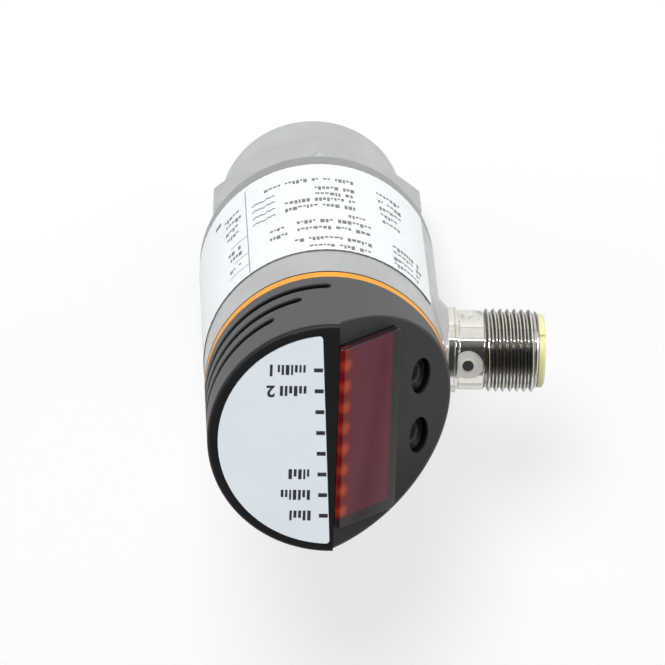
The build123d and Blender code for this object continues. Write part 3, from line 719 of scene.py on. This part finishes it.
class BuildLabel(bpy.types.Operator):
    """Finishes the wrap label, prints plain rows, rules and wavy strokes on it, and adds thin dark rings of
    painted shadow along its edges
    """

    bl_idname = "sensor.build_label"
    bl_label = "Wrap label"

    def execute(self, context):
        size = sizes()
        paint(label_film("label film", colours().label), "wrap_label")
        random.seed(7)
        radius = LABEL_HIGH.y
        degree = math.degrees(MM / radius)
        marks = bmesh.new()
        for first, last, height in LABEL_ROWS:
            self.print_row(marks, first, last, height * MM, radius, degree, size)
        for first, last, low, high in LABEL_RULES:
            wrapped_mark(marks, first, last, low * MM, high * MM, radius, size.print_height)
        for height in WAVE_HEIGHTS:
            for step in range(16):
                start = WAVE_START - step * WAVE_STEP
                low = height + WAVE_RISES[step % 4] + (0.3 if 5 < step < 10 else 0.0)
                wrapped_mark(
                    marks, start, start - WAVE_REACH, low * MM, (low + 0.34) * MM, radius, size.print_height
                )
        wrapped_mark(marks, -29.0, -33.4, 29.9 * MM, 31.0 * MM, radius, size.print_height)
        bmesh.ops.recalc_face_normals(marks, faces=marks.faces)
        ink = printing_ink("label ink", colours().ink)
        piece(marks, "label_print", ink, "housing", "label_film")
        # Painted shadow: thin dark rings along the label's low and high edges
        edge = bmesh.new()
        for height in (LABEL_LOW.z, LABEL_HIGH.z):
            low, high = height - 0.05 * MM, height + 0.05 * MM
            wrapped_mark(edge, -LABEL_REACH, LABEL_REACH, low, high, radius - 0.1 * MM, 0.105 * MM)
        bmesh.ops.recalc_face_normals(edge, faces=edge.faces)
        edge_shadow_ink = printing_ink("label edge shadow", shade(colours().ink, 0.8))
        piece(edge, "label_edge_shadow", edge_shadow_ink, "housing", "label_film")
        return {"FINISHED"}

    def print_row(self, marks, first, last, height, radius, degree, size):
        """A row of small upright marks in groups."""
        here = first
        while here > last + 0.5 * degree:
            for _ in range(random.randint(2, 8)):
                width = random.uniform(0.26, 0.62) * degree
                if here - width < last:
                    break
                tall = size.mark_height * random.choice((0.45, 0.75, 1.0))
                wrapped_mark(
                    marks,
                    here,
                    here - width,
                    height - size.mark_height / 2,
                    height - size.mark_height / 2 + tall,
                    radius,
                    size.print_height,
                )
                here -= width + 0.17 * degree
            here -= 0.55 * degree


class BuildRing(bpy.types.Operator):
    """Finishes the coloured ring under the cap, with thin dark rings of painted shadow in the joints on
    both sides
    """

    bl_idname = "sensor.build_ring"
    bl_label = "Accent ring"

    def execute(self, context):
        paint(moulded("ring plastic", colours().ring, 0.50, 0.3, 0.003), "accent_ring")
        # Painted shadow: a thin dark ring stands in each joint, above and below the coloured ring
        joints = bmesh.new()
        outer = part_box("accent_ring")[1].x / MM
        for height in (SLEEVE_TOP / MM, CAP_BOTTOM / MM):
            ring = spun(
                [
                    (outer - 0.3, height - 0.14),
                    (outer + 0.03, height - 0.14),
                    (outer + 0.05, height),
                    (outer + 0.03, height + 0.14),
                    (outer - 0.3, height + 0.14),
                ],
                128,
            )
            joined(joints, ring)
        shadow = smooth_rubber("joint shadow", shade(colours().rubber, 0.6))
        piece(joints, "ring_joints", shadow, "housing", "ring_orange")
        return {"FINISHED"}


class BuildCap(bpy.types.Operator):
    """Finishes the moulded cap"""

    bl_idname = "sensor.build_cap"
    bl_label = "Display cap"

    def execute(self, context):
        paint(cap_plastic("cap plastic", colours().cap), "display_cap")
        return {"FINISHED"}


# Ticks on the scale plate, and lengths of the rows of bars beside some of them, in millimetres
TICK_FIRST = -10.42
TICK_PITCH = 3.13
BAR_ROWS = {0: 4.1, 1: 4.1, 5: 3.1, 6: 4.5, 7: 3.1}


class BuildPlate(bpy.types.Operator):
    """Finishes the scale plate and prints its ticks, two numerals and plain bars"""

    bl_idname = "sensor.build_plate"
    bl_label = "Scale plate"

    def execute(self, context):
        size = sizes()
        paint(moulded("plate plastic", colours().plate, 0.36, 0.5, 0.002, 0.0, 0.015), "scale_plate")
        marks = bmesh.new()
        low = PLATE_TOP - 0.01 * MM
        high = PLATE_TOP + size.print_height
        random.seed(3)
        for index in range(8):
            y = TICK_FIRST + index * TICK_PITCH
            x = 1.62 - 0.185 * index
            plate_mark(marks, ((x + 0.55) * MM, y * MM), 1.22 * MM, 0.58 * MM, low, high)
            here = x + 2.3
            end = here + BAR_ROWS.get(index, 0.0)
            while here < end - 0.3:
                width = min(random.uniform(0.26, 0.5), end - here)
                tall = random.choice((1.5, 1.5, 1.1))
                centre = ((here + width / 2) * MM, (y + (tall - 1.5) / 2) * MM)
                plate_mark(marks, centre, width * MM, tall * MM, low, high)
                here += width + 0.24
        ink = printing_ink("plate ink", colours().plate_ink)
        for index, numeral in enumerate(("1", "2")):
            centre = (8.6 * MM, (TICK_FIRST + index * TICK_PITCH) * MM)
            self.print_numeral(marks, numeral, centre, low, high)
        bmesh.ops.recalc_face_normals(marks, faces=marks.faces)
        piece(marks, "plate_print", ink, "housing", "plate_white")
        return {"FINISHED"}

    def print_numeral(self, marks, numeral, centre, low, high):
        """Adds one plain numeral to the marks."""
        curve = bpy.data.curves.new("numeral", "FONT")
        curve.body = numeral
        curve.size = 2.35 * MM
        curve.offset = 0.07 * MM
        curve.extrude = (high - low) / 2
        curve.align_x = "CENTER"
        curve.align_y = "CENTER"
        text = bpy.data.objects.new("numeral", curve)
        bpy.context.scene.collection.objects.link(text)
        ready = text.evaluated_get(bpy.context.evaluated_depsgraph_get())
        mesh = bpy.data.meshes.new_from_object(ready)
        bpy.data.objects.remove(text)
        mesh.transform(Matrix.Translation((centre[0], centre[1], (low + high) / 2)))
        marks.from_mesh(mesh)
        bpy.data.meshes.remove(mesh)


class BuildWindow(bpy.types.Operator):
    """Builds the window pane with rounded edges, and its lamps and frame"""

    bl_idname = "sensor.build_window"
    bl_label = "Window pane"

    def execute(self, context):
        size = sizes()
        low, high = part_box("window_pane")
        raised, sunk = 1.4 * MM, -0.9 * MM
        reach = (-low.x - raised * math.sin(SLANT)) / math.cos(SLANT)
        ridge = (ROOF - (SLANT_TOP + raised / math.cos(SLANT))) / math.tan(SLANT)
        foot = SLANT_FRAME @ Vector((reach, 0, sunk))
        edge = SLANT_FRAME @ Vector((reach, 0, raised))
        start = high.x
        back = SLANT_TOP + start * math.tan(SLANT) + sunk / math.cos(SLANT)
        section = [(start, ROOF), (ridge, ROOF), (edge.x, edge.z), (foot.x, foot.z), (start, back)]
        bm = bmesh.new()
        corners = [bm.verts.new((x, low.y, z)) for x, z in section]
        side = bm.faces.new(corners)
        grown = bmesh.ops.extrude_face_region(bm, geom=[side])["geom"]
        moved = [item for item in grown if isinstance(item, bmesh.types.BMVert)]
        bmesh.ops.translate(bm, vec=(0, high.y - low.y, 0), verts=moved)
        bmesh.ops.recalc_face_normals(bm, faces=bm.faces)
        above = {v for v in bm.verts if v.co.z > SLANT_TOP + v.co.x * math.tan(SLANT)}
        shown = [e for e in bm.edges if above.intersection(e.verts)]
        bmesh.ops.bevel(
            bm,
            geom=shown,
            offset=size.pane_edge,
            offset_type="OFFSET",
            segments=3,
            profile=0.5,
            affect="EDGES",
            material=-1,
            clamp_overlap=True,
        )
        glass = window_glass("window glass", colours(), size.lamp_pitch, low.y)
        piece(bm, "window_glass", glass, "housing", "pane_red", "window_pane", smooth=50)
        return {"FINISHED"}


class BuildButtons(bpy.types.Operator):
    """Builds the two rubber buttons with dished tops and wide skirts"""

    bl_idname = "sensor.build_buttons"
    bl_label = "Push buttons"

    # Inset and rise of each step from the button's edge to the middle of its dish, in millimetres
    dish = ((0.10, 0.12), (0.14, 0.0), (0.12, -0.34), (0.28, -0.36), (0.4, -0.10))
    shank, skirt = 1.9, 0.78

    def execute(self, context):
        foot = -sizes().button_depth - (self.shank + self.dish[0][1]) * MM
        for name, body in (("mode_button", "mode_key"), ("set_button", "set_key")):
            low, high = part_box(name)
            across = -(low.y + high.y) / 2
            rubber = button_rubber(name + " rubber", colours().rubber, across)
            bm = bmesh.new()
            top = self.oval(bm, BUTTON_HALF, (BUTTON_REACH, across, foot), self.shank * MM)
            for inset, rise in self.dish:
                bmesh.ops.inset_individual(bm, faces=[top], thickness=inset * MM, use_even_offset=True)
                bmesh.ops.translate(bm, vec=(0, 0, rise * MM), verts=top.verts)
            self.oval(bm, SKIRT_HALF, (BUTTON_REACH, across, foot - 0.02 * MM), self.skirt * MM)
            bm.transform(SLANT_FRAME)
            bmesh.ops.recalc_face_normals(bm, faces=bm.faces)
            piece(bm, name + "_rubber", rubber, body, "button_rubber", name, smooth=60)
        return {"FINISHED"}

    def oval(self, bm, halves, centre, height):
        """Adds an upright oval column and gives its top face."""
        ring = bmesh.ops.create_circle(bm, cap_ends=True, radius=1.0, segments=64)["verts"]
        bmesh.ops.scale(bm, vec=(halves[0] * MM, halves[1] * MM, 1), verts=ring)
        bmesh.ops.translate(bm, vec=centre, verts=ring)
        base = next(iter(ring[0].link_faces))
        grown = bmesh.ops.extrude_face_region(bm, geom=[base])["geom"]
        moved = [item for item in grown if isinstance(item, bmesh.types.BMVert)]
        bmesh.ops.translate(bm, vec=(0, 0, height), verts=moved)
        return next(item for item in grown if isinstance(item, bmesh.types.BMFace))


class BuildPlug(bpy.types.Operator):
    """Builds the plug's shell with its spot faces, holes and thread, and finishes its insides"""

    bl_idname = "sensor.build_plug"
    bl_label = "Plug connector"

    def execute(self, context):
        size = sizes()
        bore, root, crest = size.plug_bore / MM, size.plug_root / MM, size.plug_crest / MM
        thread_start, thread_end = THREAD_START, -PLUG_LOW.x / MM
        outline = [
            (bore, 10.7),
            (5.5, 10.7),
            (5.5, 17.2),
            (5.95, 17.2),
            (6.0, 17.3),
            (6.0, 18.1),
            (5.9, 18.2),
            (5.9, 18.25),
            (6.05, 18.3),
            (6.05, 18.5),
            (5.95, 18.6),
            (5.45, 18.62),
            (5.45, 18.72),
            (5.5, 18.84),
            (5.6, 18.9),
            (5.6, 22.2),
            (5.5, 22.35),
            (5.1, 22.4),
            (5.1, 22.75),
            (root, 22.85),
            (root, thread_end - 0.35),
            (root - 0.2, thread_end - 0.05),
            (root - 0.25, thread_end),
            (bore, thread_end),
        ]
        shell = spun(outline, 144)
        cutters = bmesh.new()
        spot = (size.spot_radius / MM, SPOT_FLOOR, 7.0)
        hole = (SPOT_HOLE, SPOT_FLOOR - SPOT_HOLE_DEPTH, SPOT_FLOOR + 0.4)
        for index in range(4):
            tool = bmesh.new()
            for radius, low, high in (spot, hole):
                made = bmesh.ops.create_cone(
                    tool,
                    cap_ends=True,
                    segments=48,
                    radius1=radius * MM,
                    radius2=radius * MM,
                    depth=(high - low) * MM,
                )["verts"]
                bmesh.ops.translate(tool, vec=(0, 0, (low + high) / 2 * MM), verts=made)
                for vert in made:
                    vert.co.x = max(-SPOT_CUT_LOW * MM, min(SPOT_CUT_HIGH * MM, vert.co.x))
            place = Matrix.Rotation(index * TURN / 4, 4, "Z") @ Matrix.Translation((0, 0, SPOT_MIDDLE * MM))
            turn = Matrix.Rotation(TURN / 4, 4, "Y") @ Matrix.Rotation(TURN / 2, 4, "Z")
            joined(cutters, tool, place @ turn)
        bmesh.ops.recalc_face_normals(cutters, faces=cutters.faces)
        mesh = cut(shell, cutters, "connector_shell_body")
        thread = helix(
            [
                ((root - 0.15) * MM, -0.5 * size.plug_pitch),
                ((crest - 0.08) * MM, -0.11 * size.plug_pitch),
                (crest * MM, -0.04 * size.plug_pitch),
                (crest * MM, 0.04 * size.plug_pitch),
                ((crest - 0.08) * MM, 0.11 * size.plug_pitch),
                ((root - 0.15) * MM, 0.5 * size.plug_pitch),
            ],
            size.plug_pitch,
            (thread_end - thread_start) * MM / size.plug_pitch + 0.05,
        )
        bmesh.ops.translate(thread, vec=(0, 0, (thread_start - 0.15) * MM), verts=thread.verts)
        for vert in thread.verts:
            reach = math.hypot(vert.co.x, vert.co.y)
            limit = crest * MM - max(0.0, vert.co.z - (thread_end - 0.75) * MM) * 0.9
            limit = min(limit, crest * MM - max(0.0, (thread_start + 0.35) * MM - vert.co.z) * 1.6)
            if reach > limit:
                vert.co.x *= limit / reach
                vert.co.y *= limit / reach
        whole = bmesh.new()
        whole.from_mesh(mesh)
        bpy.data.meshes.remove(mesh)
        joined(whole, thread)
        whole.transform(PLUG_FRAME)
        nickel = plated_nickel("plug nickel", colours().nickel, size)
        name = "connector_shell_turned"
        piece(whole, name, nickel, "housing", "shell_nickel", "connector_shell", smooth=20)
        paint(nickel, "connector_nut")
        paint(moulded("insert plastic", colours().insert, 0.34, 0.4, 0.003, 0.15), "contact_carrier")
        gold = Finish("contact gold", (0.83, 0.60, 0.24), Metallic=1.0)
        wear = gold.noise(3.0, 3.0)
        gold.feed(Base_Color=gold.mix(wear, (0.80, 0.56, 0.22), (0.86, 0.66, 0.32)))
        gold.feed(Roughness=wear * 0.15 + 0.18)
        paint(gold.material, "contact_pins")
        return {"FINISHED"}


class FinishInside(bpy.types.Operator):
    """Gives the hidden pieces their finishes"""

    bl_idname = "sensor.finish_inside"
    bl_label = "Hidden pieces"

    def execute(self, context):
        tint = colours()
        boards = ("cell_board", "connector_board", "main_board", "display_board")
        seals = ("cell_seal", "swivel_seal", "connector_seal", "cap_seal")
        paint(circuit_board("board", tint.board), *boards)
        paint(smooth_rubber("seal rubber", tint.rubber), *seals)
        paint(ground_ceramic("cell ceramic"), "measuring_cell")
        inner = turned_steel("inner steel", shade(tint.steel, 0.9), 0.34)
        paint(inner, "cell_clamp_ring", "restrictor_screw")
        paint(turned_steel("spring steel", shade(tint.steel, 0.7), 0.36), "retaining_ring", "stop_pin")
        paint(moulded("lead film", (0.50, 0.24, 0.05), 0.35, 0.5, 0.003), "cell_lead", "board_link")
        paint(moulded("carrier plastic", (0.22, 0.22, 0.23), 0.5), "board_carrier")
        paint(moulded("module plastic", (0.10, 0.09, 0.09), 0.45), "display_module")
        paint(moulded("switch plastic", (0.08, 0.08, 0.08), 0.45), "mode_switch", "set_switch")
        paint(moulded("guide plastic", (0.55, 0.06, 0.04), 0.25, 0.5, 0.002, 0.3), "light_guide")
        lamp = Finish("lamp", tint.lamp, Coat_Weight=0.5)
        glow = lamp.noise(1.5, 2.0)
        lamp.feed(Base_Color=lamp.mix(glow, shade(tint.lamp, 0.8), tint.lamp))
        lamp.feed(Roughness=glow * 0.2 + 0.2)
        paint(lamp.material, "status_lights")
        return {"FINISHED"}


# Name, place, width, height and power of each lamp, in metres and watts
LAMPS = (
    ("key", (0.13, -0.66, 0.90), 0.26, 0.26, 6.4),
    ("strip", (-0.10, -0.86, 0.70), 0.70, 0.045, 0.8),
    ("fill", (0.95, -0.35, 0.50), 0.80, 0.80, 2.5),
    ("side", (-0.90, -0.50, 0.35), 0.80, 0.80, 3.0),
)

# Brightness of the world from the horizon, at 0, to overhead, at 1
SKY = ((0.0, 1.0), (0.50, 0.95), (0.60, 0.30), (0.87, 0.05))

# The camera's place in metres, its turn as a quaternion and its lens in millimetres
CAMERA_PLACE = (0.0399469, -0.3631114, 0.8636446)
CAMERA_TURN = (-0.01065332, 0.02136256, -0.20773435, 0.97789395)
CAMERA_LENS = 341.296


class SetStage(bpy.types.Operator):
    """Adds the floor, the lamps, the world and the camera"""

    bl_idname = "sensor.set_stage"
    bl_label = "Stage"

    def execute(self, context):
        scene = context.scene
        ground = bmesh.new()
        below = Matrix.Translation((0, 0, -0.02 * MM))
        bmesh.ops.create_circle(ground, cap_ends=True, radius=3.0, segments=96, matrix=below)
        mesh = bpy.data.meshes.new("floor")
        ground.to_mesh(mesh)
        ground.free()
        floor = bpy.data.objects.new("floor", mesh)
        scene.collection.objects.link(floor)
        floor.data.materials.append(pale_floor("floor", colours().floor))
        centre = Vector((0, 0, 45 * MM))
        for name, place, wide, high, power in LAMPS:
            data = bpy.data.lights.new(name, "AREA")
            data.shape = "ELLIPSE"
            data.size = wide
            data.size_y = high
            data.energy = power
            lamp = bpy.data.objects.new(name, data)
            lamp.location = place
            lamp.rotation_mode = "QUATERNION"
            lamp.rotation_quaternion = (Vector(place) - centre).to_track_quat("Z", "Y")
            scene.collection.objects.link(lamp)
        self.light_world(scene)
        data = bpy.data.cameras.new("camera")
        data.sensor_width = 36.0
        data.lens = CAMERA_LENS
        data.clip_start = 0.05
        data.clip_end = 20.0
        camera = bpy.data.objects.new("camera", data)
        camera.location = CAMERA_PLACE
        camera.rotation_mode = "QUATERNION"
        camera.rotation_quaternion = CAMERA_TURN
        scene.collection.objects.link(camera)
        scene.camera = camera
        scene.view_settings.view_transform = "Standard"
        return {"FINISHED"}

    def light_world(self, scene):
        """A plain soft world, brighter round the horizon than overhead."""
        world = bpy.data.worlds.new("studio")
        world.use_nodes = True
        scene.world = world
        nodes, links = world.node_tree.nodes, world.node_tree.links
        background = nodes["Background"]
        place = nodes.new("ShaderNodeTexCoord")
        parts = nodes.new("ShaderNodeSeparateXYZ")
        links.new(place.outputs["Generated"], parts.inputs[0])
        ramp = nodes.new("ShaderNodeValToRGB")
        while len(ramp.color_ramp.elements) < len(SKY):
            ramp.color_ramp.elements.new(0.5)
        for element, (position, grey) in zip(ramp.color_ramp.elements, SKY):
            element.position = position
            element.color = (grey, grey, grey * 1.01, 1)
        links.new(parts.outputs["Z"], ramp.inputs[0])
        links.new(ramp.outputs[0], background.inputs["Color"])
        background.inputs["Strength"].default_value = 0.95


class SensorPanel(bpy.types.Panel):
    """The sensor's sizes, colours and building steps"""

    bl_idname = "VIEW3D_PT_sensor"
    bl_label = "Pressure Sensor"
    bl_space_type = "VIEW_3D"
    bl_region_type = "UI"
    bl_category = "Sensor"

    def draw(self, context):
        layout = self.layout
        for group in (context.scene.sensor_sizes, context.scene.sensor_colours):
            box = layout.box()
            for key in group.bl_rna.properties.keys():
                if key not in ("rna_type", "name"):
                    box.prop(group, key)
        for step in STEPS:
            layout.operator(step.bl_idname)


STEPS = (
    BuildConnection,
    BuildSleeve,
    BuildLabel,
    BuildRing,
    BuildCap,
    BuildPlate,
    BuildWindow,
    BuildButtons,
    BuildPlug,
    FinishInside,
    SetStage,
)
CLASSES = (SensorSizes, SensorColours, *STEPS, SensorPanel)


def register():
    for kind in CLASSES:
        bpy.utils.register_class(kind)
    bpy.types.Scene.sensor_sizes = bpy.props.PointerProperty(type=SensorSizes)
    bpy.types.Scene.sensor_colours = bpy.props.PointerProperty(type=SensorColours)


def unregister():
    del bpy.types.Scene.sensor_colours
    del bpy.types.Scene.sensor_sizes
    for kind in reversed(CLASSES):
        bpy.utils.unregister_class(kind)


def main():
    """Registers the add-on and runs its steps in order."""
    register()
    for step in STEPS:
        group, name = step.bl_idname.split(".")
        getattr(getattr(bpy.ops, group), name)()


if __name__ == "__main__":
    main()
